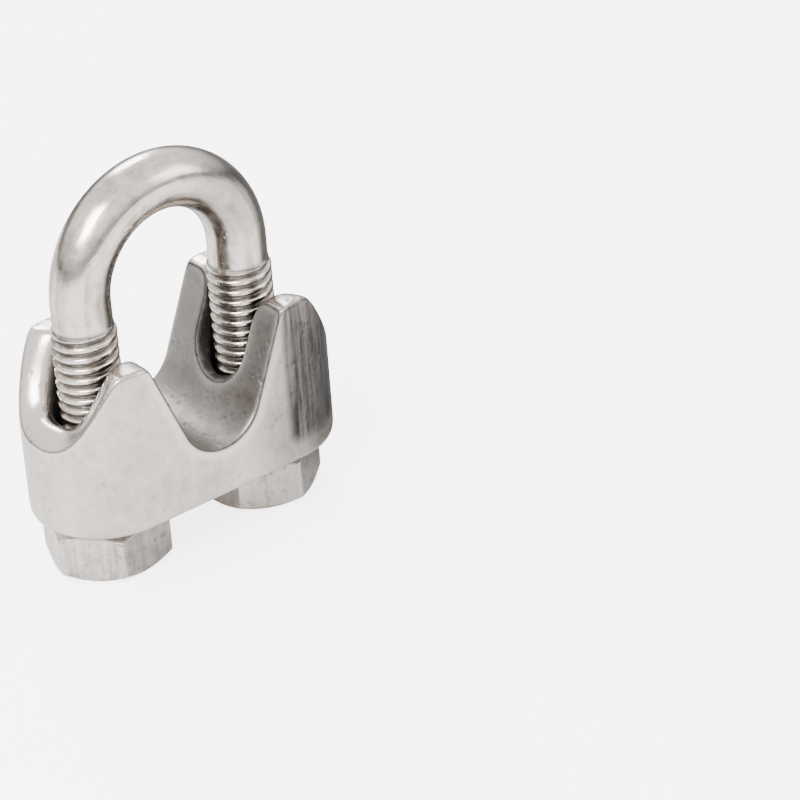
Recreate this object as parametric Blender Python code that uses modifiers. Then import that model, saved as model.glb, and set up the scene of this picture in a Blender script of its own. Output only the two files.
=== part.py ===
"""Wire rope clip: a U-bolt whose two threaded legs pass through a cast saddle and end in two hex nuts.

Metres, +Z up. The rope runs along Y. The origin is on the surface that the nuts stand on, halfway
between the saddle's two leg holes. The saddle is the fixed body: the U-bolt slides down through it as
the nuts turn.
"""

from math import cos, pi, radians, sin, tan

import bmesh
import bpy
from mathutils import Matrix, Vector

MM = 0.001

# The thread, M4 x 0.7, right-handed
THREAD_R = 2.0 * MM
PITCH = 0.7 * MM
THREAD_DEPTH = 0.43 * MM
CREST_WIDTH = PITCH / 8
FLANK_SLOPE = tan(radians(30))  # each flank leans 30 degrees off the radial direction
THREAD_PLAY = 0.09 * MM  # between the legs' crests and the nuts' roots, on the radius
FLANK_PLAY = 0.05 * MM  # between the flanks, along the axis
RUN_OUT_TURNS = 0.75  # over which the ridge fades out at the top of a leg
RIDGE_SINK = 0.07 * MM  # how far a leg's thread ridge is rooted into its core
TURN_STEPS = 14  # even, and shared with the rod, so that the ridge's steps fall on the rod's own edges

# The U-bolt
ROD_R = 1.83 * MM  # the thread is rolled, so its crests stand proud of the rod
LEG_SPACING = 11.6 * MM
LEG_SHIFT = -0.3 * MM  # the U-bolt sits this far along X in the play of the saddle's holes
LEG_X = {"left": LEG_SHIFT - LEG_SPACING / 2, "right": LEG_SHIFT + LEG_SPACING / 2}
BEND_RISE = 5.9 * MM
BEND_STEPS = 18
TIP_CHAMFER = 0.35 * MM

# The nuts
NUT_HEIGHT = 3.2 * MM
NUT_FLATS = 7.0 * MM
NUT_CORNERS = NUT_FLATS / cos(radians(30))
NUT_FACE_R = 0.475 * NUT_FLATS
NUT_CHAMFER_SLOPE = tan(radians(30))
NUT_BORE_R = 1.70 * MM
NUT_BORE_SIDES = 24
NUT_THREAD_SINK = 0.04 * MM
NUT_TURNED = {"left": radians(13), "right": radians(36)}

# Heights above the surface that the clip stands on
NUT_GAP = 0.3 * MM
SADDLE_Z = NUT_HEIGHT + NUT_GAP
TIP_Z = 0.3 * MM
THREAD_TOP_Z = SADDLE_Z + 12.6 * MM
BEND_Z = SADDLE_Z + 13.85 * MM

# The saddle, whose plan is a rectangle with a half-round at each end
SADDLE_HEIGHT = 10.9 * MM
SADDLE_HALF_DEPTH = 4.8 * MM
SADDLE_HALF_LENGTH = 10.5 * MM
END_STEPS = 16
LEG_HOLE_X = {"left": -LEG_SPACING / 2, "right": LEG_SPACING / 2}
LEG_HOLE_R = 2.55 * MM
HOLE_SIDES = 26
BASE_EDGE = 0.35 * MM

# The rim round each leg: low at the end of the saddle, and climbing steeply to an ear at each side
RIM_HEIGHT = 5.8 * MM
EAR_HEIGHT = 11.0 * MM  # where the climb would end, so that each ear is left with a blunt top
EAR_POWER = 3.7
RIM_STEPS = 21
RIM_REACH = {"inner": 0.6 * MM, "outer": 7 * MM}

# The rope groove along Y: a round floor, with straight walls that leave the round at an angle and open
# upwards. The slot along X that the U-bend settles into has the same form with upright walls.
GROOVE_FLOOR = 3.5 * MM
GROOVE_R = 2.7 * MM
GROOVE_SWEEP = radians(64)
SLOT_FLOOR = 5.3 * MM
SLOT_R = 2.15 * MM
SLOT_SWEEP = radians(90)
SLOT_HALF_LENGTH = 5.9 * MM
FLOOR_STEPS = 7
WELD = 0.001 * MM
OVER = 2 * MM  # how far a cutter runs past what it cuts


def clear_scene():
    for obj in list(bpy.data.objects):
        bpy.data.objects.remove(obj, do_unlink=True)


def collection(name):
    made = bpy.data.collections.new(name)
    bpy.context.scene.collection.children.link(made)
    return made


def steel(name, colour, roughness):
    material = bpy.data.materials.new(name)
    material.use_nodes = True
    shader = material.node_tree.nodes["Principled BSDF"]
    shader.inputs["Base Color"].default_value = (*colour, 1)
    shader.inputs["Roughness"].default_value = roughness
    shader.inputs["Metallic"].default_value = 1
    return material


def mesh_object(name, mesh, where):
    obj = bpy.data.objects.new(name, mesh)
    where.objects.link(obj)
    return obj


def hide(obj):
    obj.hide_render = True
    obj.display_type = "WIRE"
    return obj


def mend(mesh):
    """Welds points that meet and turns every face outwards."""
    work = bmesh.new()
    work.from_mesh(mesh)
    bmesh.ops.remove_doubles(work, verts=work.verts, dist=WELD)
    bmesh.ops.recalc_face_normals(work, faces=work.faces)
    work.to_mesh(mesh)
    work.free()


def lofted(name, rings, where):
    """A closed skin through rings of the same number of points, with a flat cap at each end."""
    count = len(rings[0])
    points = [point for ring in rings for point in ring]
    faces = [tuple(reversed(range(count)))]
    for row in range(len(rings) - 1):
        for i in range(count):
            here, beside = row * count + i, row * count + (i + 1) % count
            faces.append((here, beside, beside + count, here + count))
    last = (len(rings) - 1) * count
    faces.append(tuple(range(last, last + count)))
    mesh = bpy.data.meshes.new(name)
    mesh.from_pydata(points, [], faces)
    mend(mesh)
    return mesh_object(name, mesh, where)


def helix_ridge(name, axis_x, low, high, crest_r, crest_width, root_r, where):
    """The thread as one ridge wound round a leg, rooted below the core and fading out at its top end."""
    first, last = round(low / PITCH * TURN_STEPS), round(high / PITCH * TURN_STEPS)
    half_crest = crest_width / 2
    rings = []
    for step in range(first, last + 1):
        turns_left = (last - step) / TURN_STEPS
        tip_r = root_r + (crest_r - root_r) * max(0.1, min(1.0, turns_left / RUN_OUT_TURNS))
        half_root = half_crest + (tip_r - root_r) * FLANK_SLOPE
        angle = 2 * pi * step / TURN_STEPS
        height = PITCH * step / TURN_STEPS
        section = ((root_r, -half_root), (tip_r, -half_crest), (tip_r, half_crest), (root_r, half_root))
        rings.append([(axis_x + r * cos(angle), r * sin(angle), height + up) for r, up in section])
    return lofted(name, rings, where)


def boolean(obj, cutter, operation):
    modifier = obj.modifiers.new(f"{operation.lower()}_{cutter.name}", "BOOLEAN")
    modifier.operation = operation
    modifier.object = hide(cutter)
    modifier.solver = "EXACT"


def smooth(obj, angle):
    obj.data.shade_smooth()
    obj.data.set_sharp_from_angle(angle=angle)


def u_path():
    """Points and radii down the middle of the U-bolt, from the left tip over the bend to the right one."""
    core_r = THREAD_R - THREAD_DEPTH
    leg = [
        (TIP_Z, core_r - TIP_CHAMFER),
        (TIP_Z + TIP_CHAMFER, core_r),
        (THREAD_TOP_Z - PITCH, core_r),
        (THREAD_TOP_Z, ROD_R),
    ]
    left = [(Vector((LEG_X["left"], 0, z)), r) for z, r in leg]
    right = [(Vector((LEG_X["right"], 0, z)), r) for z, r in reversed(leg)]
    bend = []
    for step in range(BEND_STEPS + 1):
        angle = pi * step / BEND_STEPS
        across = LEG_SHIFT - LEG_SPACING / 2 * cos(angle)
        bend.append((Vector((across, 0, BEND_Z + BEND_RISE * sin(angle))), ROD_R))
    return left + bend + right


def make_u_bolt(parts, cutters, finish):
    """The bent rod, with a thread ridge joined to each leg."""
    path = u_path()
    rings = []
    for i, (centre, radius) in enumerate(path):
        along = path[min(i + 1, len(path) - 1)][0] - path[max(i - 1, 0)][0]
        outward = Vector((-along.z, 0, along.x)).normalized()
        ring = []
        for side in range(TURN_STEPS):
            angle = 2 * pi * side / TURN_STEPS
            ring.append(centre + radius * (cos(angle) * outward + sin(angle) * Vector((0, -1, 0))))
        rings.append(ring)
    bolt = lofted("u_bolt", rings, parts)
    bolt.data.materials.append(finish)
    for side, axis_x in LEG_X.items():
        ridge = helix_ridge(
            f"thread_{side}", axis_x, TIP_Z + PITCH, THREAD_TOP_Z - PITCH / 2, THREAD_R, CREST_WIDTH,
            THREAD_R - THREAD_DEPTH - RIDGE_SINK, cutters,
        )
        boolean(bolt, ridge, "UNION")
    return bolt


def prism(name, radius, low, high, sides, centre_x, turned, where):
    bpy.ops.mesh.primitive_cylinder_add(
        vertices=sides, radius=radius, depth=high - low, location=(0, 0, (low + high) / 2)
    )
    made = bpy.context.object
    made.name = made.data.name = name
    for owner in list(made.users_collection):
        owner.objects.unlink(made)
    where.objects.link(made)
    made.data.transform(Matrix.Rotation(turned, 4, "Z") @ Matrix.Translation(made.location))
    made.location = (centre_x, 0, 0)
    return made


def nut_blank(name, where):
    """The turned body that the hexagon is cut to: both faces fall away 30 degrees outside their land."""
    rim_r = 0.55 * NUT_CORNERS
    drop = (rim_r - NUT_FACE_R) * NUT_CHAMFER_SLOPE
    profile = [
        (0, NUT_HEIGHT), (NUT_FACE_R, NUT_HEIGHT), (rim_r, NUT_HEIGHT - drop), (rim_r, drop),
        (NUT_FACE_R, 0), (0, 0),
    ]
    mesh = bpy.data.meshes.new(name)
    edges = [(i, i + 1) for i in range(len(profile) - 1)]
    mesh.from_pydata([(r, 0, z) for r, z in profile], edges, [])
    blank = mesh_object(name, mesh, where)
    turn = blank.modifiers.new("turn", "SCREW")
    turn.angle = 2 * pi
    turn.steps = turn.render_steps = 36
    turn.use_merge_vertices = True
    turn.merge_threshold = WELD
    return blank


def make_nut(side, parts, cutters, finish):
    """A hex nut cut to its chamfered faces, bored and threaded to the leg with a little play."""
    name, axis_x = f"nut_{side}", LEG_X[side]
    nut = prism(name, NUT_CORNERS / 2, 0, NUT_HEIGHT, 6, axis_x, NUT_TURNED[side], parts)
    nut.data.materials.append(finish)
    blank = nut_blank(f"{name}_blank", cutters)
    blank.location = (axis_x, 0, 0)
    boolean(nut, blank, "INTERSECT")
    bore = prism(f"{name}_bore", NUT_BORE_R, -OVER, NUT_HEIGHT + OVER, NUT_BORE_SIDES, axis_x, 0, cutters)
    boolean(nut, bore, "DIFFERENCE")
    groove = helix_ridge(
        f"{name}_thread", axis_x, -PITCH * 2, NUT_HEIGHT + PITCH * 3, THREAD_R + THREAD_PLAY,
        CREST_WIDTH + 2 * FLANK_PLAY, NUT_BORE_R - NUT_THREAD_SINK, cutters,
    )
    boolean(nut, groove, "DIFFERENCE")
    return nut


def open_round(floor, radius, sweep, top):
    """Half the outline of a groove: from its lowest point round its floor and up the leaning wall."""
    half = []
    for step in range(FLOOR_STEPS + 1):
        angle = sweep * step / FLOOR_STEPS
        half.append((radius * sin(angle), floor + radius * (1 - cos(angle))))
    across, up = half[-1]
    half.append((across + (top - up) / tan(sweep), top))
    return half


def groove_cutter(name, floor, radius, sweep, half_length, turned, where):
    """A groove's cutter, run along Y and then turned about Z."""
    half = open_round(floor, radius, sweep, SADDLE_HEIGHT + OVER)
    outline = [(-across, up) for across, up in reversed(half[1:])] + half
    curve = bpy.data.curves.new(name, "CURVE")
    curve.dimensions = "2D"
    curve.fill_mode = "BOTH"
    curve.extrude = half_length
    spline = curve.splines.new("POLY")
    spline.points.add(len(outline) - 1)
    for point, (across, up) in zip(spline.points, outline):
        point.co = (across, up, 0, 1)
    spline.use_cyclic_u = True
    upright = Matrix.Rotation(turned, 4, "Z") @ Matrix.Rotation(pi / 2, 4, "X")
    place = Matrix.Translation((0, 0, SADDLE_Z)) @ upright
    return mesh_from_curve(name, curve, place, where)


def mesh_from_curve(name, curve, place, where):
    guide = bpy.data.objects.new(name + "_guide", curve)
    bpy.context.scene.collection.objects.link(guide)
    bpy.context.view_layer.update()
    graph = bpy.context.evaluated_depsgraph_get()
    mesh = bpy.data.meshes.new_from_object(guide.evaluated_get(graph))
    bpy.data.objects.remove(guide, do_unlink=True)
    mend(mesh)
    mesh.transform(place)
    mesh.name = name
    return mesh_object(name, mesh, where)


def saddle_outline():
    """The plan: straight front and back, half-round ends."""
    centre = SADDLE_HALF_LENGTH - SADDLE_HALF_DEPTH
    outline = []
    for end, start in ((1, -pi / 2), (-1, pi / 2)):
        for step in range(END_STEPS + 1):
            angle = start + pi * step / END_STEPS
            outline.append(
                (end * centre + SADDLE_HALF_DEPTH * cos(angle), SADDLE_HALF_DEPTH * sin(angle))
            )
    return outline


def rim_cutter(side, where):
    """What is cut away over one end of the saddle: a fan round the leg's hole, with the rim as its floor."""
    outwards = -1 if side == "left" else 1
    top = SADDLE_Z + SADDLE_HEIGHT + OVER
    rings = []
    for step in range(RIM_STEPS + 1):
        angle = pi * (step / RIM_STEPS - 0.5)
        floor = SADDLE_Z + RIM_HEIGHT + (EAR_HEIGHT - RIM_HEIGHT) * abs(sin(angle)) ** EAR_POWER
        ring = []
        for reach, height in (("inner", floor), ("outer", floor), ("outer", top), ("inner", top)):
            across = RIM_REACH[reach] * cos(angle) * outwards
            ring.append((LEG_HOLE_X[side] + across, RIM_REACH[reach] * sin(angle), height))
        rings.append(ring)
    return lofted(f"rim_{side}", rings, where)


def make_saddle(parts, cutters, finish):
    """The cast block: four ears left standing between the rope groove and the rims round the legs."""
    outline = saddle_outline()
    centre = SADDLE_HALF_LENGTH - SADDLE_HALF_DEPTH
    inset = 1 - BASE_EDGE / SADDLE_HALF_DEPTH
    levels = ((0, inset), (BASE_EDGE, 1), (SADDLE_HEIGHT, 1))
    rings = []
    for height, scale in levels:
        ring = []
        for x, y in outline:
            middle = max(-centre, min(centre, x))
            ring.append((middle + (x - middle) * scale, y * scale, SADDLE_Z + height))
        rings.append(ring)
    saddle = lofted("saddle", rings, parts)
    saddle.data.materials.append(finish)
    groove = groove_cutter(
        "rope_groove", GROOVE_FLOOR, GROOVE_R, GROOVE_SWEEP, SADDLE_HALF_DEPTH + OVER, 0, cutters
    )
    boolean(saddle, groove, "DIFFERENCE")
    for side, axis_x in LEG_HOLE_X.items():
        boolean(saddle, rim_cutter(side, cutters), "DIFFERENCE")
        hole = prism(
            f"leg_hole_{side}", LEG_HOLE_R, SADDLE_Z - OVER, SADDLE_Z + SADDLE_HEIGHT + OVER, HOLE_SIDES,
            axis_x, 0, cutters,
        )
        boolean(saddle, hole, "DIFFERENCE")
    slot = groove_cutter("bend_slot", SLOT_FLOOR, SLOT_R, SLOT_SWEEP, SLOT_HALF_LENGTH, pi / 2, cutters)
    boolean(saddle, slot, "DIFFERENCE")
    return saddle


def main():
    clear_scene()
    parts = collection("wire_rope_clip")
    cutters = collection("cutters")
    cast = steel("cast_stainless", (0.50, 0.48, 0.46), 0.38)
    drawn = steel("drawn_stainless", (0.55, 0.53, 0.51), 0.25)
    nut_steel = steel("nut_stainless", (0.47, 0.45, 0.43), 0.32)
    make_saddle(parts, cutters, cast)
    bolt = make_u_bolt(parts, cutters, drawn)
    nuts = [
        make_nut("left", parts, cutters, nut_steel),
        make_nut("right", parts, cutters, nut_steel),
    ]
    bpy.context.view_layer.update()
    for obj in (bolt, *nuts):
        smooth(obj, radians(30))


main()
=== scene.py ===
"""Looks of a stainless wire rope clip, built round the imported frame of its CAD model.

Every place and size is read from the frame or from the clip's few driving dimensions. The cast saddle
is one rounded field turned into a skin, the threads and the bend are grids laid round the legs, and the
nuts are rings swept round a hexagon. All of it is in metres, +Z up, except the saddle's field, which is
in millimetres.
"""

import logging
from dataclasses import dataclass
from enum import Enum
from math import ceil, cos, floor, pi, radians, sin, sqrt, tan
from typing import Callable, Iterable, Optional, Sequence, Union

import bmesh
import bpy
from mathutils import Matrix, Vector


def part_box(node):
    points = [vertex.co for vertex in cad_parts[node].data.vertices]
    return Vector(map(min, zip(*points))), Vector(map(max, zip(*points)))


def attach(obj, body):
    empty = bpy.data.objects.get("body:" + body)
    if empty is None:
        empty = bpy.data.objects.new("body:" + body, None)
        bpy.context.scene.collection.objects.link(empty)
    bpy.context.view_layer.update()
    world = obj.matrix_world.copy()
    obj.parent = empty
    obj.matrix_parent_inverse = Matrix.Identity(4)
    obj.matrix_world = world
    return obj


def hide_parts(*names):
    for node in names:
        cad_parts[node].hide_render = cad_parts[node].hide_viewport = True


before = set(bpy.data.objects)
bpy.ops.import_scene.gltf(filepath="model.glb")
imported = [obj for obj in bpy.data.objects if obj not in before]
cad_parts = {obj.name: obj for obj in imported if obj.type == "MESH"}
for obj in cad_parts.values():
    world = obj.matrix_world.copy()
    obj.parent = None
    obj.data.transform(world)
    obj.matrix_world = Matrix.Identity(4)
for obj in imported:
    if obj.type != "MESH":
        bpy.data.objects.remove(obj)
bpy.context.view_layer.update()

LOG = logging.getLogger("wire_rope_clip")
MM = 0.001
WELD = 0.001 * MM
# Painted shade: the colour of surfaces that face DARK_SIDE is darkened.
DARK_SIDE = (0.755, -0.656, 0.0)  # the direction that the least light comes from

Number = Union["Field", float]
Colour = tuple[float, float, float]
Point = tuple[float, float, float]
Ramp = tuple[float, float]
Sizer = Callable[[str], "Field"]


# ---------------------------------------------------------------- arithmetic on node sockets


class Field:
    """A number that varies over a shape, written as plain arithmetic and kept as math nodes."""

    def __init__(self, tree: bpy.types.NodeTree, socket: bpy.types.NodeSocket) -> None:
        """Wraps one output socket of a tree.

        Args:
            tree: The node tree that the socket is in.
            socket: The output that carries the number.
        """
        self.tree = tree
        self.socket = socket

    def math(self, operation: str, *others: Number) -> "Field":
        """Adds one math node fed by this field and the others.

        Args:
            operation: Blender's name for the operation.
            others: The node's second and third operands.

        Returns:
            The node's result.
        """
        node = self.tree.nodes.new("ShaderNodeMath")
        node.operation = operation
        for slot, value in zip(node.inputs, (self, *others)):
            feed(self.tree, slot, value)
        return Field(self.tree, node.outputs[0])

    def __add__(self, other: Number) -> "Field":
        """The sum."""
        return self.math("ADD", other)

    def __sub__(self, other: Number) -> "Field":
        """The difference."""
        return self.math("SUBTRACT", other)

    def __rsub__(self, other: Number) -> "Field":
        """The difference, with a plain number first."""
        return (self * -1.0) + other

    def __mul__(self, other: Number) -> "Field":
        """The product."""
        return self.math("MULTIPLY", other)

    def __rmul__(self, other: Number) -> "Field":
        """The product, with a plain number first."""
        return self.math("MULTIPLY", other)

    def __truediv__(self, other: Number) -> "Field":
        """The quotient."""
        return self.math("DIVIDE", other)

    def __neg__(self) -> "Field":
        """The field with its sign turned."""
        return self * -1.0

    def least(self, other: Number) -> "Field":
        """The smaller of the two."""
        return self.math("MINIMUM", other)

    def most(self, other: Number) -> "Field":
        """The larger of the two."""
        return self.math("MAXIMUM", other)

    def between(self, low: Number, high: Number) -> "Field":
        """The field held between two limits."""
        return self.most(low).least(high)

    def size(self) -> "Field":
        """The absolute value."""
        return self.math("ABSOLUTE")

    def root(self) -> "Field":
        """The square root."""
        return self.math("SQRT")

    def sine(self) -> "Field":
        """The sine."""
        return self.math("SINE")

    def cosine(self) -> "Field":
        """The cosine."""
        return self.math("COSINE")

    def whole(self) -> "Field":
        """The whole part."""
        return self.math("FLOOR")

    def above(self, limit: Number) -> "Field":
        """1 where the field is above the limit, 0 elsewhere."""
        return self.math("GREATER_THAN", limit)

    def round_most(self, other: Number, reach: Number) -> "Field":
        """The larger of the two, eased where they are within reach of each other: a fillet."""
        return self.math("SMOOTH_MAX", other, reach)

    def blend(self, other: Number, share: "Field") -> "Field":
        """This field where share is 0, the other where it is 1."""
        return self + (self.math("SUBTRACT", other) * -1.0) * share

    def eased(self) -> "Field":
        """A 0 to 1 field with a slow start and a slow end."""
        held = self.between(0.0, 1.0)
        return held * held * (3.0 - 2.0 * held)

    def ramp(self, start: Number, full: Number) -> "Field":
        """0 up to the start, 1 from full onwards, and eased between the two."""
        return ((self - start) / (full - start)).eased()


def feed(tree: bpy.types.NodeTree, slot: bpy.types.NodeSocket, value: Number) -> None:
    """Links a field to a socket, or sets the socket to a plain value.

    Args:
        tree: The tree that holds the socket.
        slot: The input to feed.
        value: A field, a socket or a constant.
    """
    if isinstance(value, Field):
        tree.links.new(value.socket, slot)
    elif isinstance(value, bpy.types.NodeSocket):
        tree.links.new(value, slot)
    else:
        slot.default_value = value


def length_of(first: Field, second: Field) -> Field:
    """The length of a vector of two fields."""
    return (first * first + second * second).root()


def split_point(tree: bpy.types.NodeTree, point: bpy.types.NodeSocket) -> tuple[Field, Field, Field]:
    """The three coordinates of a point.

    Args:
        tree: The tree that holds the point.
        point: The socket that carries it.

    Returns:
        Its X, Y and Z.
    """
    split = tree.nodes.new("ShaderNodeSeparateXYZ")
    tree.links.new(point, split.inputs[0])
    return tuple(Field(tree, output) for output in split.outputs)


# ---------------------------------------------------------------- geometry trees


class ShapeTree:
    """A Geometry Nodes tree with named sizes that ends in Realize Instances and Set Material."""

    def __init__(self, name: str, sizes: dict[str, float]) -> None:
        """Starts the tree with one float input for each size.

        Args:
            name: The tree's name.
            sizes: Input names and the values that this clip gives them.
        """
        self.name = name
        self.sizes = sizes
        self.tree = bpy.data.node_groups.new(name, "GeometryNodeTree")
        face = self.tree.interface
        face.new_socket("Geometry", in_out="INPUT", socket_type="NodeSocketGeometry")
        face.new_socket("Geometry", in_out="OUTPUT", socket_type="NodeSocketGeometry")
        for label in sizes:
            face.new_socket(label, in_out="INPUT", socket_type="NodeSocketFloat")
        self.entry = self.tree.nodes.new("NodeGroupInput")
        self.exit = self.tree.nodes.new("NodeGroupOutput")

    def size(self, label: str) -> Field:
        """The field of one named input."""
        return Field(self.tree, self.entry.outputs[label])

    def node(self, kind: str, **values: object) -> bpy.types.Node:
        """Adds a node and feeds its inputs, whose names are given with underscores for spaces.

        Args:
            kind: The node's type.
            values: Input names and what feeds them.

        Returns:
            The new node.
        """
        made = self.tree.nodes.new(kind)
        for label, value in values.items():
            feed(self.tree, made.inputs[label.replace("_", " ")], value)
        return made

    def position(self) -> tuple[Field, Field, Field]:
        """The three coordinates of each point."""
        return split_point(self.tree, self.node("GeometryNodeInputPosition").outputs[0])

    def grid_steps(self, columns: int, rows: int) -> tuple[bpy.types.NodeSocket, Field, Field]:
        """A grid whose points know their place in it.

        Args:
            columns: Steps round the axis; the last column meets the first.
            rows: Points along the axis.

        Returns:
            The grid, and each point's column and row.
        """
        grid = self.node("GeometryNodeMeshGrid", Vertices_X=columns + 1, Vertices_Y=rows)
        index = Field(self.tree, self.node("GeometryNodeInputIndex").outputs[0])
        column = ((index + 0.5) / float(rows)).whole()
        return grid.outputs["Mesh"], column, index - column * float(rows)

    def laid(self, grid: bpy.types.NodeSocket, x: Field, y: Field, z: Field) -> bpy.types.NodeSocket:
        """Moves a grid's points to a place and welds what meets.

        Args:
            grid: The grid to move.
            x: Where each point goes along X.
            y: Where each point goes along Y.
            z: Where each point goes along Z.

        Returns:
            The welded mesh.
        """
        place = self.node("ShaderNodeCombineXYZ", X=x, Y=y, Z=z)
        moved = self.node("GeometryNodeSetPosition", Geometry=grid, Position=place.outputs[0])
        weld = self.node("GeometryNodeMergeByDistance", Geometry=moved.outputs[0], Distance=WELD)
        return weld.outputs[0]

    def bake(self, shape: bpy.types.NodeSocket, material: bpy.types.Material) -> bpy.types.Mesh:
        """Closes the tree, runs it once and returns its result as a plain mesh.

        Args:
            shape: The geometry that the tree has built.
            material: What it is made of.

        Returns:
            The finished mesh, which no tree or modifier holds any more.
        """
        real = self.node("GeometryNodeRealizeInstances", Geometry=shape)
        dressed = self.node("GeometryNodeSetMaterial", Geometry=real.outputs[0], Material=material)
        self.tree.links.new(dressed.outputs[0], self.exit.inputs[0])
        host = bpy.data.objects.new(self.name, bpy.data.meshes.new(self.name))
        bpy.context.scene.collection.objects.link(host)
        modifier = host.modifiers.new(self.name, "NODES")
        modifier.node_group = self.tree
        for item in self.tree.interface.items_tree:
            if item.in_out == "INPUT" and item.name in self.sizes:
                modifier[item.identifier] = float(self.sizes[item.name])
        bpy.context.view_layer.update()
        graph = bpy.context.evaluated_depsgraph_get()
        mesh = bpy.data.meshes.new_from_object(host.evaluated_get(graph))
        bpy.data.objects.remove(host, do_unlink=True)
        return mesh


def joined(
    name: str, meshes: Iterable[bpy.types.Mesh], material: bpy.types.Material,
) -> bpy.types.Object:
    """One closed object from meshes whose rims meet.

    Args:
        name: The piece's name.
        meshes: The meshes to weld together.
        material: What the piece is made of.

    Returns:
        The new object, at the origin, with its place in its mesh.
    """
    work = bmesh.new()
    for mesh in meshes:
        work.from_mesh(mesh)
    bmesh.ops.remove_doubles(work, verts=work.verts, dist=WELD)
    bmesh.ops.dissolve_degenerate(work, edges=work.edges, dist=WELD / 10)
    bmesh.ops.recalc_face_normals(work, faces=work.faces)
    for face in work.faces:
        face.material_index = 0
    whole = bpy.data.meshes.new(name)
    work.to_mesh(whole)
    work.free()
    whole.materials.clear()
    whole.materials.append(material)
    whole.shade_smooth()
    piece = bpy.data.objects.new(name, whole)
    bpy.context.scene.collection.objects.link(piece)
    return piece


# ---------------------------------------------------------------- finishes


class EffectGroup:
    """A shader node group with named inputs and outputs, built once and placed in many materials."""

    made: dict[str, bpy.types.NodeTree] = {}

    def __init__(self, name: str, inputs: dict[str, float], outputs: Sequence[str]) -> None:
        """Starts a group.

        Args:
            name: The group's name.
            inputs: Names and defaults of its numbers.
            outputs: Names of what it puts out.
        """
        self.tree = bpy.data.node_groups.new(name, "ShaderNodeTree")
        for label, value in inputs.items():
            socket = self.tree.interface.new_socket(label, in_out="INPUT", socket_type="NodeSocketFloat")
            socket.default_value = value
        for label in outputs:
            self.tree.interface.new_socket(label, in_out="OUTPUT", socket_type="NodeSocketFloat")
        self.entry = self.tree.nodes.new("NodeGroupInput")
        self.exit = self.tree.nodes.new("NodeGroupOutput")
        EffectGroup.made[name] = self.tree

    def value(self, label: str) -> Field:
        """The field of one named input."""
        return Field(self.tree, self.entry.outputs[label])

    def point(self) -> bpy.types.NodeSocket:
        """The object's own coordinates."""
        return self.tree.nodes.new("ShaderNodeTexCoord").outputs["Object"]

    def coordinates(self) -> tuple[Field, Field, Field]:
        """The object's own coordinates, one by one."""
        return split_point(self.tree, self.point())

    def noise(
        self, where: bpy.types.NodeSocket, scale: Number, detail: float, rough: float = 0.5,
    ) -> Field:
        """A cloud of noise between 0 and 1.

        Args:
            where: The coordinates it is read at.
            scale: How many clouds there are to the metre.
            detail: How many finer layers it has.
            rough: How strong the finer layers are.

        Returns:
            The noise's value.
        """
        node = self.tree.nodes.new("ShaderNodeTexNoise")
        feed(self.tree, node.inputs["Vector"], where)
        feed(self.tree, node.inputs["Scale"], scale)
        node.inputs["Detail"].default_value = detail
        node.inputs["Roughness"].default_value = rough
        return Field(self.tree, node.outputs[0])

    def put(self, label: str, value: Field) -> None:
        """Sends a field out under one of the group's output names."""
        self.tree.links.new(value.socket, self.exit.inputs[label])

    def put_lines(self, across: Field, deep: Field, along: Field) -> None:
        """Sends out fine lines and broad stains drawn out along one coordinate.

        Args:
            across: The first coordinate that the lines vary over.
            deep: The second one.
            along: The coordinate that they are drawn out along.
        """
        place = self.tree.nodes.new("ShaderNodeCombineXYZ")
        for label, value in (("X", across), ("Y", deep), ("Z", along / self.value("Stretch"))):
            feed(self.tree, place.inputs[label], value)
        scale = self.value("Scale")
        self.put("Lines", self.noise(place.outputs[0], scale, 4.0, 0.6))
        self.put("Stain", self.noise(place.outputs[0], scale * 0.16, 3.0, 0.6))

    def facing(self, toward: Point) -> Field:
        """How squarely the surface faces a direction, from 1 for squarely to -1 for away.

        Args:
            toward: The direction, one metre long.

        Returns:
            The cosine between the surface's normal and the direction.
        """
        node = self.tree.nodes.new("ShaderNodeVectorMath")
        node.operation = "DOT_PRODUCT"
        normal = self.tree.nodes.new("ShaderNodeNewGeometry").outputs["Normal"]
        self.tree.links.new(normal, node.inputs[0])
        node.inputs[1].default_value = toward
        return Field(self.tree, node.outputs["Value"])


def build_pitting() -> None:
    """The shallow pits and pores that a tumbled casting keeps, and the cloudiness between them."""
    group = EffectGroup("pitting", {"Scale": 2500.0, "Share": 0.35}, ("Pits", "Cloud"))
    where = group.point()
    cells = group.tree.nodes.new("ShaderNodeTexVoronoi")
    warp = group.noise(where, group.value("Scale") * 0.6, 2.0)
    feed(group.tree, cells.inputs["Vector"], where)
    feed(group.tree, cells.inputs["Scale"], group.value("Scale"))
    gap = Field(group.tree, cells.outputs["Distance"])
    chosen = (group.noise(where, group.value("Scale") * 0.35, 3.0) - 0.5) * 3.0 + group.value("Share")
    pits = (1.0 - gap * 2.2 + (warp - 0.5) * 0.8).between(0.0, 1.0) * chosen.between(0.0, 1.0)
    group.put("Pits", pits)
    group.put("Cloud", group.noise(where, group.value("Scale") * 0.12, 4.0, 0.6))


def build_grain() -> None:
    """The fine even grain of blasted or tumbled metal."""
    group = EffectGroup("grain", {"Scale": 9000.0}, ("Height", "Coarse"))
    where = group.point()
    group.put("Height", group.noise(where, group.value("Scale"), 3.0, 0.65))
    group.put("Coarse", group.noise(where, group.value("Scale") * 0.22, 3.0, 0.55))


def build_drawn_lines() -> None:
    """Fine lines and stains that run along Z, as a drawing die and a wheel leave them.

    The group also says where shade is painted: on the sides that face right, and on the right-hand nut.
    """
    group = EffectGroup("drawn_lines", {"Scale": 3000.0, "Stretch": 14.0}, ("Lines", "Stain", "Shade"))
    x, y, z = group.coordinates()
    group.put_lines(x, y, z)
    # Painted shade: sides that face DARK_SIDE, and the right-hand nut through its place along X, are
    # darker.
    side = group.facing(DARK_SIDE).ramp(0.62, 0.82)
    group.put("Shade", side.most(x.ramp(0.0, 5.0 * MM) * 0.6))


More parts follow.
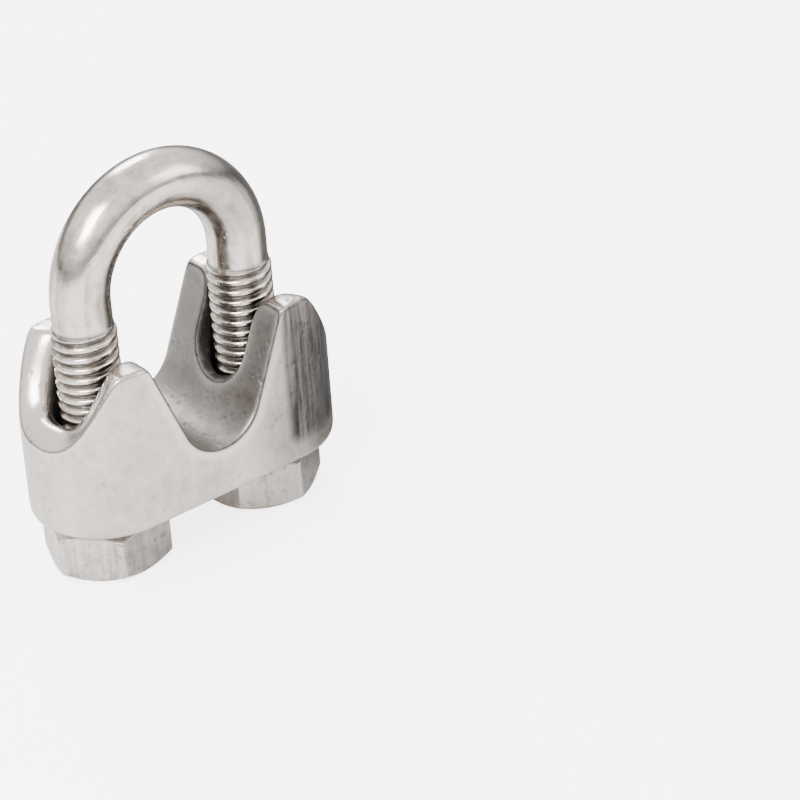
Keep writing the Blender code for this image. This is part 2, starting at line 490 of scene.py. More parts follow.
def build_bend_lines(layout: "LegLayout", thread_top_z: float, bend_z: float, rise: float) -> None:
    """The same lines on the bent rod, which follow the rod over the bend.

    The group also says how deep a point is in the thread, and where shade is painted on the rod.

    Args:
        layout: Where the legs are.
        thread_top_z: The height at which the threads end.
        bend_z: The height at which the bend starts.
        rise: How far the bend's middle line climbs above that.
    """
    inputs = {
        "Scale": 2600.0, "Stretch": 16.0, "Leg X": layout.leg_x, "Shift": layout.shift,
        "Thread Radius": layout.thread_r, "Thread Depth": layout.depth, "Thread Top": thread_top_z,
        "Bend Z": bend_z, "Rise": rise,
    }
    group = EffectGroup("bend_lines", inputs, ("Lines", "Stain", "Shade", "Valley"))
    x, y, z = group.coordinates()
    value = group.value
    across = (x - value("Shift")) / value("Leg X")
    over = (z - value("Bend Z")).most(0.0) / value("Rise")
    outwards = (length_of(across, over) - 1.0) * value("Leg X")
    along = over.math("ARCTAN2", across) * value("Leg X") + (z - value("Bend Z")).least(0.0)
    group.put_lines(outwards, y, along)
    # Valley also sets where shade is painted into the thread's valleys.
    from_leg = length_of((x - value("Shift")).size() - value("Leg X"), y)
    sunk = ((value("Thread Radius") - from_leg) / value("Thread Depth")).ramp(0.25, 0.95)
    group.put("Valley", sunk * (value("Thread Top") - z).above(0.0))
    # Painted shade: the sides that face DARK_SIDE and the right shoulder of the bend.
    side = group.facing(DARK_SIDE).ramp(0.7, 0.86)
    shoulder = across.ramp(0.1, 0.6) * over.ramp(0.0, 0.4)
    group.put("Shade", side.most(shoulder * 0.6))


def build_edge_polish() -> None:
    """Where a shape stands proud and has been rubbed bright, and where it is hollow: dull, and given
    painted shade.
    """
    group = EffectGroup("edge_polish", {"Start": 0.52, "Full": 0.6}, ("Mask", "Hollow"))
    sharp = Field(group.tree, group.tree.nodes.new("ShaderNodeNewGeometry").outputs["Pointiness"])
    start, full = group.value("Start"), group.value("Full")
    group.put("Mask", sharp.ramp(start, full))
    # Hollow also sets where shade is painted into a nut's hollows.
    group.put("Hollow", (1.0 - sharp).ramp(start, full))


# How far each effect sways a steel from its dark tone at 0 to its pale one at 1
TONE_MIDDLE = 0.6
COARSE_TONE, CLOUD_TONE, STAIN_TONE = 1.6, 1.5, 0.6
RIM_TONE, PIT_TONE = 0.55, 0.8
# DARKEST caps the painted shade in hollows.
DARKEST = 0.08  # the share of its colour that the deepest hollow keeps

# How far each effect sways a steel's roughness
COARSE_ROUGH, CLOUD_ROUGH, PIT_ROUGH = 0.12, 0.16, 0.2
EDGE_SPAN = 0.06  # between where an edge starts to brighten and where it is fully rubbed


@dataclass(frozen=True)
class Steel:
    """A stainless finish: its colours, and how its grain, pits, lines and rubbed edges show."""

    name: str
    pale: Colour
    dark: Colour
    roughness: float
    edge_roughness: float
    grain_scale: float
    grain_height: float
    pit_scale: float
    pit_share: float
    pit_height: float
    line_height: float
    hollow_painted_shade: float
    hollow_rough: float
    line_tone: float
    shade_depth: float
    edge_start: float = 0.52

    def material(self, zones: Optional[str] = None, drawn: str = "drawn_lines") -> bpy.types.Material:
        """Builds the material.

        Args:
            zones: An effect group that says where the piece has a polished rim and a dull recess, and
                where shade is painted on it.
            drawn: The effect group that draws the lines.

        Returns:
            A metal whose colour, roughness and relief all vary over the piece.
        """
        made = bpy.data.materials.new(self.name)
        made.use_nodes = True
        tree = made.node_tree
        shader = tree.nodes["Principled BSDF"]
        shader.inputs["Metallic"].default_value = 1.0
        seen = {
            **self.placed(tree, "grain", Scale=self.grain_scale),
            **self.placed(tree, "pitting", Scale=self.pit_scale, Share=self.pit_share),
            **self.placed(tree, drawn),
        }
        if zones:
            seen.update(self.placed(tree, zones))
        else:
            start = self.edge_start
            edges = self.placed(tree, "edge_polish", Start=start, Full=start + EDGE_SPAN)
            seen.update({"Rim": edges["Mask"], "Recess": seen.get("Valley", edges["Hollow"])})
        tree.links.new(self.colour(tree, seen), shader.inputs["Base Color"])
        rough = (seen["Coarse"] - 0.5) * COARSE_ROUGH + (seen["Cloud"] - 0.5) * CLOUD_ROUGH
        rough = rough + self.roughness + seen["Pits"] * PIT_ROUGH + seen["Recess"] * self.hollow_rough
        rough = rough.blend(self.edge_roughness, seen["Rim"]).between(0.05, 1.0)
        feed(tree, shader.inputs["Roughness"], rough)
        relief = seen["Height"] * self.grain_height - seen["Pits"] * self.pit_height
        relief = relief + seen["Lines"] * self.line_height
        bump = tree.nodes.new("ShaderNodeBump")
        bump.inputs["Strength"].default_value = 1.0
        bump.inputs["Distance"].default_value = MM
        feed(tree, bump.inputs["Height"], relief * (1.0 - seen["Rim"] * 0.7 + seen["Recess"] * 1.2))
        tree.links.new(bump.outputs[0], shader.inputs["Normal"])
        return made

    def colour(self, tree: bpy.types.NodeTree, seen: dict[str, Field]) -> bpy.types.NodeSocket:
        """Mixes the two tones, then paints shade into what lies deep and onto what faces the dark side.

        Args:
            tree: The material's tree.
            seen: The outputs of every effect placed in it, by name.

        Returns:
            The socket that carries the colour.
        """
        tone = (seen["Coarse"] - 0.5) * COARSE_TONE + (seen["Cloud"] - 0.5) * CLOUD_TONE
        tone = tone + (seen["Stain"] - 0.5) * (self.line_tone + STAIN_TONE)
        tone = tone + (seen["Lines"] - 0.5) * self.line_tone
        tone = tone + TONE_MIDDLE + seen["Rim"] * RIM_TONE - seen["Pits"] * PIT_TONE
        mix = tree.nodes.new("ShaderNodeMix")
        mix.data_type = "RGBA"
        feed(tree, mix.inputs["Factor"], tone.between(0.0, 1.0))
        mix.inputs["A"].default_value = (*self.dark, 1.0)
        mix.inputs["B"].default_value = (*self.pale, 1.0)
        # Painted shade: the Shade mask darkens the colour, broken up by the lines and stains.
        streak = (seen["Lines"] - 0.5) * 0.9 + (seen["Stain"] - 0.5) * 1.6 + 0.84
        streaked = seen["Shade"] * streak.between(0.1, 1.0) * self.shade_depth
        # Painted shade: hollows, thread valleys, the saddle's groove and leg pockets and the groove's
        # lip line are darkened; in the groove this also stands for the darker as-cast surface.
        hollow_shade = seen["Recess"] * (seen["Coarse"] * 0.6 + 0.7) * self.hollow_painted_shade
        dimmed = tree.nodes.new("ShaderNodeVectorMath")
        dimmed.operation = "SCALE"
        tree.links.new(mix.outputs["Result"], dimmed.inputs[0])
        feed(tree, dimmed.inputs["Scale"], (1.0 - streaked) * (1.0 - hollow_shade).most(DARKEST))
        return dimmed.outputs[0]

    @staticmethod
    def placed(tree: bpy.types.NodeTree, group: str, **values: float) -> dict[str, Field]:
        """Places an effect group in a material.

        Args:
            tree: The material's tree.
            group: The group's name.
            values: What its inputs are set to.

        Returns:
            Its outputs by name.
        """
        node = tree.nodes.new("ShaderNodeGroup")
        node.node_tree = EffectGroup.made[group]
        for label, value in values.items():
            node.inputs[label].default_value = value
        return {output.name: Field(tree, output) for output in node.outputs}


CAST = Steel(
    name="cast_satin_steel", pale=(0.66, 0.605, 0.56), dark=(0.45, 0.405, 0.37), roughness=0.30,
    edge_roughness=0.2, grain_scale=7000.0, grain_height=0.016, pit_scale=1900.0, pit_share=0.2,
    pit_height=0.05, line_height=0.0, hollow_painted_shade=0.85, hollow_rough=0.38, line_tone=0.3,
    shade_depth=0.92,
)
DRAWN = Steel(
    name="drawn_bright_steel", pale=(0.72, 0.655, 0.595), dark=(0.31, 0.27, 0.23), roughness=0.2,
    edge_roughness=0.14, grain_scale=6000.0, grain_height=0.004, pit_scale=1100.0, pit_share=0.12,
    pit_height=0.015, line_height=0.016, hollow_painted_shade=0.78, hollow_rough=0.15, line_tone=1.8,
    shade_depth=0.65,
)
NUT = Steel(
    name="grained_nut_steel", pale=(0.67, 0.62, 0.575), dark=(0.33, 0.30, 0.27), roughness=0.34,
    edge_roughness=0.16, grain_scale=5200.0, grain_height=0.03, pit_scale=2600.0, pit_share=0.4,
    pit_height=0.05, line_height=0.045, hollow_painted_shade=0.3, hollow_rough=0.1, line_tone=2.2,
    shade_depth=0.55, edge_start=0.503,
)


# ---------------------------------------------------------------- the pieces


class Side(Enum):
    """Which leg a piece belongs to, as the sign of its place along X."""

    LEFT = -1
    RIGHT = 1


class ThreadKind(Enum):
    """Whether a thread stands on a leg or is cut in a nut."""

    LEG = "leg"
    NUT = "nut"


@dataclass
class LegLayout:
    """Where the legs and their threads are. The two rises are heights above the saddle's underside."""

    spacing: float = 11.6 * MM
    shift: float = -0.3 * MM
    thread_r: float = 2.0 * MM
    rod_r: float = 1.83 * MM
    pitch: float = 0.7 * MM
    depth: float = 0.34 * MM
    thread_rise: float = 12.6 * MM
    bend_rise: float = 13.85 * MM
    columns: int = 96

    @property
    def leg_x(self) -> float:
        """How far a leg's axis is from the middle of the two."""
        return self.spacing / 2

    def axis_x(self, side: Side) -> float:
        """Where a leg's axis is along X, with the play that the saddle's holes leave it."""
        return self.shift + side.value * self.leg_x


@dataclass
class ThreadSkin:
    """A helical thread as one sheared grid, closed at both ends onto plain rings.

    Each row of the grid keeps one place on the thread's profile all the way round, and climbs one pitch
    in a turn, so the crest is a true helix. Points past an end lie on that end's ring.
    """

    kind: ThreadKind
    side: Side
    layout: LegLayout
    low: float
    high: float
    crest_r: float
    root_r: float
    low_ring: float
    high_ring: float
    lead_in: float
    rows_per_pitch: int = 12
    fullness: Ramp = (0.72, 0.62)  # how far the profile swings, and about what
    chamfer_slope: float = 0.9

    def mesh(self, material: bpy.types.Material) -> bpy.types.Mesh:
        """Lays the grid.

        Args:
            material: What the thread is made of.

        Returns:
            The thread's skin.
        """
        pitch = self.layout.pitch
        first = floor(self.low / pitch) - 1
        rows = (ceil(self.high / pitch) + 1 - first) * self.rows_per_pitch + 1
        shape = ShapeTree(f"{self.kind.value}_thread_{self.side.name.lower()}", self.sizes(first))
        grid, column, row = shape.grid_steps(self.layout.columns, rows + 1)
        turn = column / float(self.layout.columns)
        step = (row - 1.0).most(0.0) / float(self.rows_per_pitch)
        climb = turn * shape.size("Side") * -1.0 + (shape.size("Side") + 1.0) * 0.25
        height = (step + shape.size("First Turn") + climb) * shape.size("Pitch")
        height = height.between(shape.size("Low"), shape.size("High"))
        radius = self.radius(shape, step, height)
        if self.kind is ThreadKind.LEG:
            radius = radius * row.above(0.5)
        angle = turn * (2 * pi)
        x = shape.size("Axis X") - shape.size("Side") * radius * angle.cosine()
        return shape.bake(shape.laid(grid, x, radius * angle.sine(), height), material)

    def sizes(self, first: int) -> dict[str, float]:
        """The tree's named sizes, with the turn that its first row starts on."""
        return {
            "Side": float(self.side.value), "Axis X": self.layout.axis_x(self.side),
            "Pitch": self.layout.pitch, "First Turn": float(first), "Low": self.low, "High": self.high,
            "Crest Radius": self.crest_r, "Root Radius": self.root_r, "Low Ring": self.low_ring,
            "High Ring": self.high_ring, "Lead In": self.lead_in,
        }

    def radius(self, shape: ShapeTree, step: Field, height: Field) -> Field:
        """The skin's distance from the leg's axis.

        Args:
            shape: The tree that holds the sizes.
            step: How many pitches up the profile a row is.
            height: How high the point is.

        Returns:
            The profile's radius, led in at the open end and faded out at the other.
        """
        swing = ((step * (2 * pi)).cosine() * self.fullness[0] + self.fullness[1]).eased()
        radius = shape.size("Root Radius").blend(shape.size("Crest Radius"), swing)
        from_low, from_high = height - shape.size("Low"), shape.size("High") - height
        if self.kind is ThreadKind.NUT:
            mouths = from_low.least(from_high) * -1.0 + shape.size("Low Ring")
            return radius.most(mouths)
        radius = radius.least(from_low * self.chamfer_slope + shape.size("Low Ring"))
        faded = from_high.ramp(0.0, shape.size("Lead In"))
        return shape.size("High Ring").blend(radius, faded)


@dataclass
class UBolt:
    """The bent rod with its two rolled threads."""

    layout: LegLayout
    tip_z: float
    thread_top_z: float
    bend_z: float
    rise: float
    tip_inset: float = 0.12 * MM
    fade_turns: float = 0.8
    bend_rows: int = 72

    def bend_mesh(self, material: bpy.types.Material) -> bpy.types.Mesh:
        """The plain rod between the two threads: two short straights and the bend.

        Args:
            material: What the rod is made of.

        Returns:
            The rod's skin, open where the threads join it.
        """
        shape = ShapeTree("rod_bend", {
            "Leg X": self.layout.leg_x, "Shift": self.layout.shift, "Rod Radius": self.layout.rod_r,
            "Bend Z": self.bend_z, "Rise": self.rise, "Straight": self.bend_z - self.thread_top_z,
        })
        rows = self.bend_rows + 3
        grid, column, row = shape.grid_steps(self.layout.columns, rows)
        turn = column * (2 * pi / self.layout.columns)
        swept = ((row - 1.0) / float(self.bend_rows)).between(0.0, 1.0) * pi
        straight = (1.0 - row).most(row - float(rows - 2)).most(0.0) * shape.size("Straight")
        along_x, along_z = swept.sine() * shape.size("Leg X"), swept.cosine() * shape.size("Rise")
        tangent = length_of(along_x, along_z)
        inward = turn.cosine() * shape.size("Rod Radius")
        x = shape.size("Shift") - swept.cosine() * shape.size("Leg X") + inward * along_z / tangent
        z = shape.size("Bend Z") + swept.sine() * shape.size("Rise") - straight
        z = z - inward * along_x / tangent
        return shape.bake(shape.laid(grid, x, turn.sine() * shape.size("Rod Radius"), z), material)

    def thread_mesh(self, side: Side, material: bpy.types.Material) -> bpy.types.Mesh:
        """The threaded length of one leg, with its chamfered tip."""
        layout = self.layout
        root = layout.thread_r - layout.depth
        return ThreadSkin(
            kind=ThreadKind.LEG, side=side, layout=layout, low=self.tip_z, high=self.thread_top_z,
            crest_r=layout.thread_r, root_r=root, low_ring=root - self.tip_inset, high_ring=layout.rod_r,
            lead_in=layout.pitch * self.fade_turns,
        ).mesh(material)

    def build(self, finish: Steel) -> bpy.types.Object:
        """Builds the piece and puts it on its body.

        Args:
            finish: The steel it is made of.

        Returns:
            The finished U-bolt.
        """
        build_bend_lines(self.layout, self.thread_top_z, self.bend_z, self.rise)
        material = finish.material(drawn="bend_lines")
        meshes = [self.bend_mesh(material), *(self.thread_mesh(side, material) for side in Side)]
        piece = joined("rod_and_threads", meshes, material)
        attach(piece, "u_bolt")
        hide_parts("u_bolt")
        return piece


def filleted(corners: Sequence[tuple[float, float, float]], steps: int = 4) -> list[tuple[float, float]]:
    """Rounds the inner corners of an open outline.

    Args:
        corners: Each corner and the length that its fillet takes off both of its sides.
        steps: How many points a fillet has beyond its first.

    Returns:
        The outline's points.
    """
    points = [corners[0][:2]]
    for before, here, after in zip(corners, corners[1:], corners[2:]):
        middle = Vector(here[:2])
        start = middle + (Vector(before[:2]) - middle).normalized() * here[2]
        end = middle + (Vector(after[:2]) - middle).normalized() * here[2]
        for step in range(steps + 1):
            t = step / steps
            spot = start * (1 - t) ** 2 + middle * 2 * t * (1 - t) + end * t * t
            points.append((spot.x, spot.y))
    points.append(corners[-1][:2])
    return points


@dataclass
class HexNut:
    """A hex nut, swept round its axis, with hyperbolic chamfer arcs and a cut thread."""

    node: str
    side: Side
    layout: LegLayout
    turned: float
    across_flats: float = 7.0 * MM
    corner_round: float = 0.16 * MM
    edge_round: float = 0.13 * MM
    chamfer_slope: float = tan(radians(30))
    mouth_r: float = 2.15 * MM
    face_r: float = 3.28 * MM
    least_drop: float = 0.02 * MM
    thread_play: float = 0.08 * MM
    thread_cut: float = 0.3 * MM
    flat_steps: int = 11
    round_steps: int = 5

    def hexagon(self) -> list[tuple[float, float]]:
        """The angle and radius of each column round the rounded hexagon."""
        apothem = self.across_flats / 2
        centre = (apothem - self.corner_round) / cos(radians(30))
        reach = self.corner_round * sin(radians(30)) / centre
        columns = []
        for corner in range(6):
            for step in range(self.round_steps):
                off = reach * (2 * step / (self.round_steps - 1) - 1)
                radius = centre * cos(off) + sqrt(self.corner_round ** 2 - (centre * sin(off)) ** 2)
                columns.append((radians(60) * corner + off, radius))
            for step in range(1, self.flat_steps + 1):
                off = reach + (radians(60) - 2 * reach) * step / (self.flat_steps + 1)
                columns.append((radians(60) * corner + off, apothem / cos(off - radians(30))))
        return columns

    def outline(self, corner_r: float, low: float, high: float) -> list[tuple[float, float, float]]:
        """Half a section of the nut in one direction, from its lower mouth to its upper one.

        Args:
            corner_r: How far out the hexagon is in that direction.
            low: The height of the nut's underside.
            high: The height of its top.

        Returns:
            Radius and height of each point, and how far it keeps to the hexagon's own angles.
        """
        drop = max((corner_r - self.face_r) * self.chamfer_slope, self.least_drop)
        edge = min(self.edge_round, drop * 0.45)
        corners = [
            (self.mouth_r, low, 0), (self.face_r, low, edge), (corner_r, low + drop, edge),
            (corner_r, high - drop, edge), (self.face_r, high, edge), (self.mouth_r, high, 0),
        ]
        points = filleted(corners)
        last = len(points) - 1
        return [(r, z, 0.0 if i in (0, last) else 1.0) for i, (r, z) in enumerate(points)]

    def body_mesh(self) -> bpy.types.Mesh:
        """The outside of the nut, open at its two mouths."""
        low, high = (corner[2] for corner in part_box(self.node))
        axis_x, sign = self.layout.axis_x(self.side), -self.side.value
        columns = self.hexagon()
        lead = self.turned if self.side is Side.LEFT else pi - self.turned
        sweep, points = 2 * pi / len(columns), []
        shift = round(lead / sweep)
        for number, (angle, corner_r) in enumerate(columns):
            hexed = angle + lead
            even = (number + shift) * sweep
            for radius, height, keeps in self.outline(corner_r, low, high):
                turn = hexed if keeps else even
                points.append((axis_x + sign * radius * cos(turn), radius * sin(turn), height))
        rows = len(points) // len(columns)
        faces = []
        for column in range(len(columns)):
            here, beside = column * rows, (column + 1) % len(columns) * rows
            faces += [(here + i, beside + i, beside + i + 1, here + i + 1) for i in range(rows - 1)]
        mesh = bpy.data.meshes.new(self.node)
        mesh.from_pydata(points, [], faces)
        return mesh

    def build(self, finish: Steel) -> bpy.types.Object:
        """Builds the piece and puts it on its body.

        Args:
            finish: The steel it is made of.

        Returns:
            The finished nut.
        """
        material = finish.material()
        low, high = (corner[2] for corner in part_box(self.node))
        inside = ThreadSkin(
            kind=ThreadKind.NUT, side=self.side, layout=self.layout, low=low, high=high,
            crest_r=self.layout.thread_r + self.thread_play,
            root_r=self.layout.thread_r - self.thread_cut,
            low_ring=self.mouth_r, high_ring=self.mouth_r, lead_in=self.layout.pitch,
        ).mesh(material)
        piece = joined(f"hex_{self.node}", [self.body_mesh(), inside], material)
        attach(piece, self.node)
        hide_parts(self.node)
        return piece


@dataclass
class SaddleCasting:
    """The cast saddle as one rounded field, in millimetres, turned into a skin.

    The block is a rectangle with half-round ends. A convex rim runs round each leg, low at the end of
    the block and climbing steeply to an ear at each side. The rope groove, the leg holes and the slot
    that the bend settles into are taken from it, and every meeting of two faces is eased into a fillet.
    """

    leg_x: float = 5.8
    hole_r: float = 2.5
    groove_floor: float = 3.5
    groove_r: float = 2.7
    groove_sweep: float = radians(68)
    slot_floor: float = 5.3
    slot_r: float = 2.12
    rim_height: float = 5.75
    ear_height: float = 11.5
    ear_power: float = 3.4
    rim_tilt: float = 1.0
    ear_tilt: float = 0.9
    rim_crown: float = 0.38
    voxel: float = 0.11
    margin: float = 0.36
    rim_polish: Ramp = (-0.42, -0.02)  # these run from where an effect starts to where it is full
    bead_polish: Ramp = (-1.0, -0.5)
    # cast_depth and way_depth also set where shade is painted into the groove and the leg pockets.
    cast_depth: Ramp = (-0.3, 0.06)
    way_depth: Ramp = (-0.6, 0.0)
    # The dark line along the groove's lip is painted shade.
    lip_line: Ramp = (-0.2, 0.14)  # where the dark line along the groove's lip is, and its half width
    # end_x to face_x set where shade is painted on the right-hand end and across the front face.
    end_x: Ramp = (4.0, 5.4)
    end_rise: Ramp = (0.4, 2.2)
    end_facing: Ramp = (0.25, 0.55)
    face_x: Ramp = (0.5, 5.0)

    def sizes(self) -> dict[str, float]:
        """The tree's named sizes, in millimetres."""
        low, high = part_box("saddle")
        return {
            "Half Length": high[0] / MM, "Half Depth": high[1] / MM, "Base Z": low[2] / MM,
            "Top Z": high[2] / MM, "Leg X": self.leg_x, "Hole Radius": self.hole_r,
            "Groove Floor": self.groove_floor, "Groove Radius": self.groove_r,
            "Slot Floor": self.slot_floor, "Slot Radius": self.slot_r, "Rim Height": self.rim_height,
            "Ear Height": self.ear_height, "Ear Power": self.ear_power, "Rim Crown": self.rim_crown,
            "Rim Tilt": self.rim_tilt, "Ear Tilt": self.ear_tilt, "Base Fillet": 0.9, "Rim Crease": 0.35,
            "Groove Edge": 0.8, "Ear Round": 1.2, "Ear Top Round": 0.5, "Hole Fillet": 1.3,
        }

    @staticmethod
    def trough(across: Field, up: Field, radius: Field, sweep: float) -> Field:
        """How far a point is inside a trough with a round floor and leaning walls.

        Args:
            across: The distance from the trough's middle plane.
            up: The height above the centre of its round floor.
            radius: The floor's radius.
            sweep: The angle at which the walls leave the round.

        Returns:
            The depth inside the trough, negative in the metal.
        """
        reach = length_of(across, up)
        wall = across * sin(sweep) - up * cos(sweep)
        on_wall = (across * cos(sweep) + up * sin(sweep)).above(0.0)
        return radius - reach.blend(wall, on_wall)

    def zones(self, size: Sizer, place: Sequence[Field]) -> tuple[Field, Field, Field]:
        """The rims, the rope groove and the way of the legs and bend, each positive outside the metal.

        Args:
            size: Gives the field of each named size.
            place: The point's coordinates in millimetres.

        Returns:
            How far the point is above the rim, inside the groove, and inside the leg's hole or slot.
        """
        x, y, z = place
        across, depth, up = x.size(), y.size(), z - size("Base Z")
        from_leg = length_of(across - size("Leg X"), y)
        round_leg = length_of((across - size("Leg X")).most(0.0), y).most(0.2)
        lean = (depth / round_leg).between(0.0, 1.0)
        climb = size("Ear Height") - size("Rim Height")
        band = (from_leg - size("Hole Radius")) / (size("Half Depth") - size("Hole Radius"))
        band = band.between(-0.2, 1.2)
        steep = lean.math("POWER", size("Ear Power") - 1.0)
        tilt = size("Rim Tilt") - (size("Rim Tilt") + size("Ear Tilt")) * steep
        bead = band * (1.0 - band) * 4.0 * size("Rim Crown") + (1.0 - band) * tilt
        slope = climb * size("Ear Power") * steep * (1.0 - lean * lean).root() / round_leg.most(2.0)
        rim = (up - size("Rim Height") - climb * steep * lean - bead) / (slope * slope + 1.0).root()
        groove = self.trough(
            across, up - size("Groove Floor") - size("Groove Radius"), size("Groove Radius"),
            self.groove_sweep,
        )
        slot = self.trough(
            depth, up - size("Slot Floor") - size("Slot Radius"), size("Slot Radius"), pi / 2,
        )
        way = (size("Hole Radius") - from_leg).most(slot.least(size("Leg X") - across))
        return rim, groove, way

    def solid(self, shape: ShapeTree) -> Field:
        """The whole casting's field: negative in the metal, positive outside it."""
        size = shape.size
        x, y, z = shape.position()
        past_end = (x.size() - (size("Half Length") - size("Half Depth"))).most(0.0)
        block = length_of(past_end, y) - size("Half Depth")
        block = block.round_most(size("Base Z") - z, size("Base Fillet"))
        rim, groove, way = self.zones(size, (x, y, z))
        ears = rim.round_most(z - size("Top Z"), size("Ear Top Round"))
        ears = ears.round_most(groove, size("Ear Round")).round_most(way, size("Hole Fillet"))
        return block.round_most(groove, size("Groove Edge")).round_most(ears, size("Rim Crease"))

    def zone_group(self) -> None:
        """The same zones as a shader group: what a wheel reaches, what stays as cast, and where shade is
        painted.
        """
        group = EffectGroup("casting_zones", self.sizes(), ("Rim", "Recess", "Shade"))
        x, y, z = place = [along * (1 / MM) for along in group.coordinates()]
        rim, groove, way = self.zones(group.value, place)
        line, half_width = self.lip_line
        # Painted shade: a dark line along the groove's lip.
        lip = (1.0 - (groove - line).size() / half_width).most(0.0) * 1.05
        cast = groove.ramp(*self.cast_depth) * (1.0 - y * 0.025)
        recess = cast.most(way.ramp(*self.way_depth) * 1.15).most(lip)
        open_face = (1.0 - recess).most(0.0)
        group.put("Rim", rim.ramp(*self.rim_polish).most(groove.ramp(*self.bead_polish)) * open_face)
        group.put("Recess", recess)
        # Painted shade: the right-hand end where it faces the dark side, and the front face more and
        # more towards the right.
        end = x.ramp(*self.end_x) * (z - group.value("Base Z")).ramp(*self.end_rise)
        end = end * group.facing(DARK_SIDE).ramp(*self.end_facing)
        end = end.most(x.ramp(*self.face_x) * 0.4)
        group.put("Shade", end * open_face * (1.0 - rim.ramp(-0.3, 0.0) * 0.6))

    def build(self, finish: Steel) -> bpy.types.Object:
        """Builds the piece and puts it on its body.

        Args:
            finish: The steel it is made of.

        Returns:
            The finished saddle.
        """
        self.zone_group()
        material = finish.material(zones="casting_zones")
        shape = ShapeTree("saddle_casting", self.sizes())
        low, high = (Vector(corner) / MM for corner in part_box("saddle"))
        low, high = low - Vector([self.margin] * 3), high + Vector([self.margin] * 3)
        cells = [max(2, round(side / self.voxel)) for side in high - low]
        cloud = shape.node(
            "GeometryNodeVolumeCube", Density=-self.solid(shape), Background=-1.0, Min=low, Max=high,
            Resolution_X=cells[0], Resolution_Y=cells[1], Resolution_Z=cells[2],
        )
        skin = shape.node("GeometryNodeVolumeToMesh", Volume=cloud.outputs[0], Threshold=0.0)
        here = shape.node("GeometryNodeInputPosition")
        eased = shape.tree.nodes.new("GeometryNodeBlurAttribute")
        eased.data_type = "FLOAT_VECTOR"
        value = next(slot for slot in eased.inputs if slot.enabled and slot.name == "Value")
        shape.tree.links.new(here.outputs[0], value)
        eased.inputs["Iterations"].default_value = 2
        smoothed = next(slot for slot in eased.outputs if slot.enabled)
        moved = shape.node("GeometryNodeSetPosition", Geometry=skin.outputs[0], Position=smoothed)
        metres = shape.node("GeometryNodeTransform", Geometry=moved.outputs[0], Scale=(MM, MM, MM))
        piece = joined("cast_saddle", [shape.bake(metres.outputs[0], material)], material)
        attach(piece, "saddle")
        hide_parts("saddle")
        return piece


# ---------------------------------------------------------------- the studio


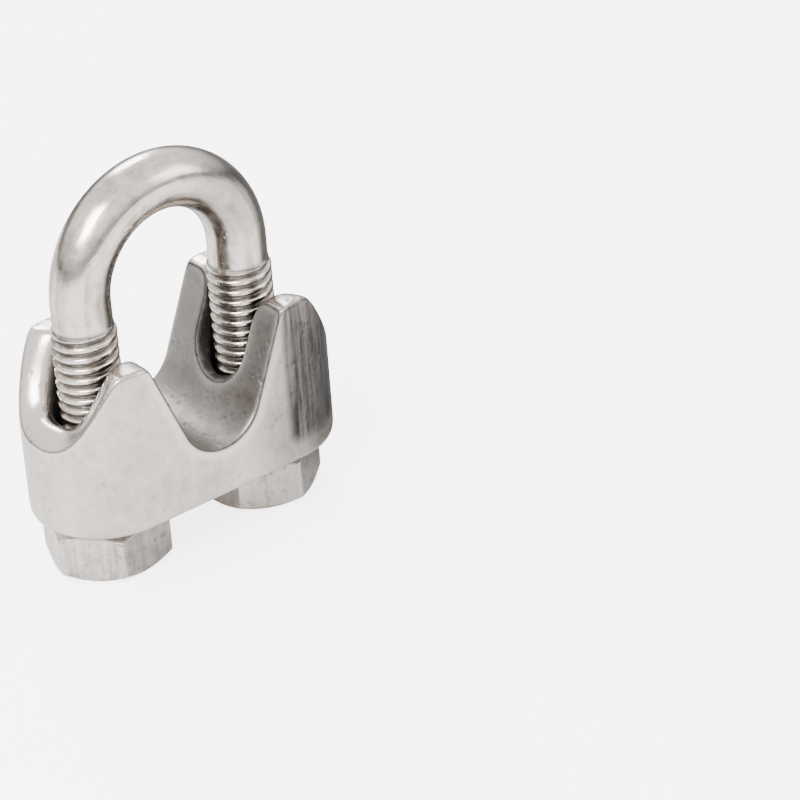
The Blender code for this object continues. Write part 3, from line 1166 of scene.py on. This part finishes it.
@dataclass
class Studio:
    """A pale floor, soft lights and a camera at a fixed viewing angle."""

    azimuth: float = -33.59
    elevation: float = 29.37
    roll: float = -6.07
    distance: float = 237.7 * MM
    aim: Point = (-0.3 * MM, 0.0, 9.5 * MM)
    aim_across: float = -0.05857
    aim_up: float = 0.00425
    focal_ratio: float = 4.881
    floor_half: float = 0.6
    floor_z: float = -0.02 * MM
    floor_white: float = 0.92
    floor_glow: float = 4.0
    clear_reach: float = 0.3 * MM
    dusk_x: Ramp = (5.0 * MM, 14.0 * MM)
    dusk_y: Ramp = (-20.0 * MM, -10.0 * MM)
    dusk_depth: float = 0.8
    sky_low: float = 0.35
    sky_gain: float = 1.5
    lamps: tuple[tuple[str, Point, float, float], ...] = (
        ("key", (-0.22, -0.10, 0.26), 0.16, 1.6),
        ("fill", (0.20, -0.22, 0.16), 0.16, 0.3),
        ("rim", (0.10, 0.24, 0.22), 0.12, 0.8),
    )

    def camera(self) -> None:
        """Places the camera, swung aside so that the clip stands in the left half of the view."""
        data = bpy.data.cameras.new("camera")
        data.sensor_width = 36.0
        data.lens = self.focal_ratio * data.sensor_width
        data.clip_start, data.clip_end = MM, 10.0
        a, e, r = (radians(angle) for angle in (self.azimuth, self.elevation, self.roll))
        back = Vector((sin(a) * cos(e), -cos(a) * cos(e), sin(e)))
        right = Vector((cos(a), sin(a), 0.0))
        level = Matrix((right, back.cross(right), back)).transposed()
        tilted = level @ Matrix.Rotation(r, 3, "Z")
        toward = Vector((self.aim_across, self.aim_up, -1.0))
        swing = Vector((0.0, 0.0, -1.0)).rotation_difference(toward).to_matrix()
        camera = bpy.data.objects.new("camera", data)
        turned = (tilted @ swing.inverted()).to_4x4()
        camera.matrix_world = Matrix.Translation(Vector(self.aim) + back * self.distance) @ turned
        bpy.context.scene.collection.objects.link(camera)
        bpy.context.scene.camera = camera

    def floor(self) -> None:
        """A large pale sheet a hair below the nuts."""
        half, low = self.floor_half, self.floor_z
        mesh = bpy.data.meshes.new("floor")
        corners = [(-half, -half, low), (half, -half, low), (half, half, low), (-half, half, low)]
        mesh.from_pydata(corners, [], [(0, 1, 2, 3)])
        mesh.materials.append(self.paper())
        sheet = bpy.data.objects.new("floor", mesh)
        bpy.context.scene.collection.objects.link(sheet)

    def paper(self) -> bpy.types.Material:
        """The sheet's material.

        It looks whiter than it lights the clip, reflects less of the room on the right, and is clear
        from underneath and for the short rays under the nuts.

        Returns:
            The pale material.
        """
        material = bpy.data.materials.new("pale_paper")
        material.use_nodes = True
        tree = material.node_tree
        shader = tree.nodes["Principled BSDF"]
        shader.inputs["Roughness"].default_value = 0.9
        path = tree.nodes.new("ShaderNodeLightPath")
        seen = Field(tree, path.outputs["Is Camera Ray"])
        x, y, _ = split_point(tree, tree.nodes.new("ShaderNodeTexCoord").outputs["Object"])
        dusk = x.ramp(*self.dusk_x) * y.ramp(*self.dusk_y) * (1.0 - seen)
        grey = tree.nodes.new("ShaderNodeCombineXYZ")
        for label in ("X", "Y", "Z"):
            feed(tree, grey.inputs[label], self.floor_white - dusk * self.dusk_depth)
        tree.links.new(grey.outputs[0], shader.inputs["Base Color"])
        shader.inputs["Emission Color"].default_value = (1.0, 1.0, 1.0, 1.0)
        feed(tree, shader.inputs["Emission Strength"], seen * self.floor_glow)
        near = 1.0 - Field(tree, path.outputs["Ray Length"]).above(self.clear_reach)
        back = Field(tree, tree.nodes.new("ShaderNodeNewGeometry").outputs["Backfacing"])
        clear = tree.nodes.new("ShaderNodeBsdfTransparent")
        sheer = tree.nodes.new("ShaderNodeMixShader")
        for value, slot in zip((near.most(back), shader.outputs[0], clear.outputs[0]), sheer.inputs):
            feed(tree, slot, value)
        tree.links.new(sheer.outputs[0], tree.nodes["Material Output"].inputs["Surface"])
        return material

    def sky(self) -> None:
        """A pale surround, brighter overhead than at the horizon."""
        world = bpy.data.worlds.new("surround")
        bpy.context.scene.world = world
        world.use_nodes = True
        tree = world.node_tree
        ground = tree.nodes["Background"]
        ground.inputs["Color"].default_value = (1.0, 1.0, 1.0, 1.0)
        _, _, up = split_point(tree, tree.nodes.new("ShaderNodeTexCoord").outputs["Generated"])
        glow = (up * 2.6 - 0.1).eased() * self.sky_gain + self.sky_low
        feed(tree, ground.inputs["Strength"], glow)

    def lamp(self, name: str, where: Point, size: float, power: float) -> None:
        """Hangs one soft square light that faces the clip.

        Args:
            name: The light's name.
            where: Its place.
            size: The length of its side.
            power: Its power in watts.
        """
        data = bpy.data.lights.new(name, "AREA")
        data.size, data.energy = size, power
        lamp = bpy.data.objects.new(name, data)
        lamp.location = where
        toward = Vector(self.aim) - Vector(where)
        lamp.rotation_euler = toward.to_track_quat("-Z", "Y").to_euler()
        bpy.context.scene.collection.objects.link(lamp)

    def build(self) -> None:
        """Sets up the camera, the floor and the light."""
        self.camera()
        self.floor()
        self.sky()
        for name, where, size, power in self.lamps:
            self.lamp(name, where, size, power)


def report(piece: bpy.types.Object) -> None:
    """Logs a piece's size and how many faces it has."""
    LOG.info("%s: %d faces, %s mm", piece.name, len(piece.data.polygons),
             " x ".join(f"{side / MM:.1f}" for side in piece.dimensions))


def main() -> None:
    """Builds the clip's pieces in order, then the studio round them."""
    logging.basicConfig(level=logging.INFO)
    for build_effect in (build_pitting, build_grain, build_drawn_lines, build_edge_polish):
        build_effect()
    layout = LegLayout()
    saddle_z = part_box("saddle")[0][2]
    tip_z, apex_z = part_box("u_bolt")[0][2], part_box("u_bolt")[1][2]
    bend_z = saddle_z + layout.bend_rise
    bolt = UBolt(
        layout=layout, tip_z=tip_z, thread_top_z=saddle_z + layout.thread_rise, bend_z=bend_z,
        rise=apex_z - layout.rod_r - bend_z,
    )
    report(SaddleCasting().build(CAST))
    report(bolt.build(DRAWN))
    report(HexNut("nut_left", Side.LEFT, layout, radians(10)).build(NUT))
    report(HexNut("nut_right", Side.RIGHT, layout, radians(36)).build(NUT))
    Studio().build()


if __name__ == "__main__":
    main()
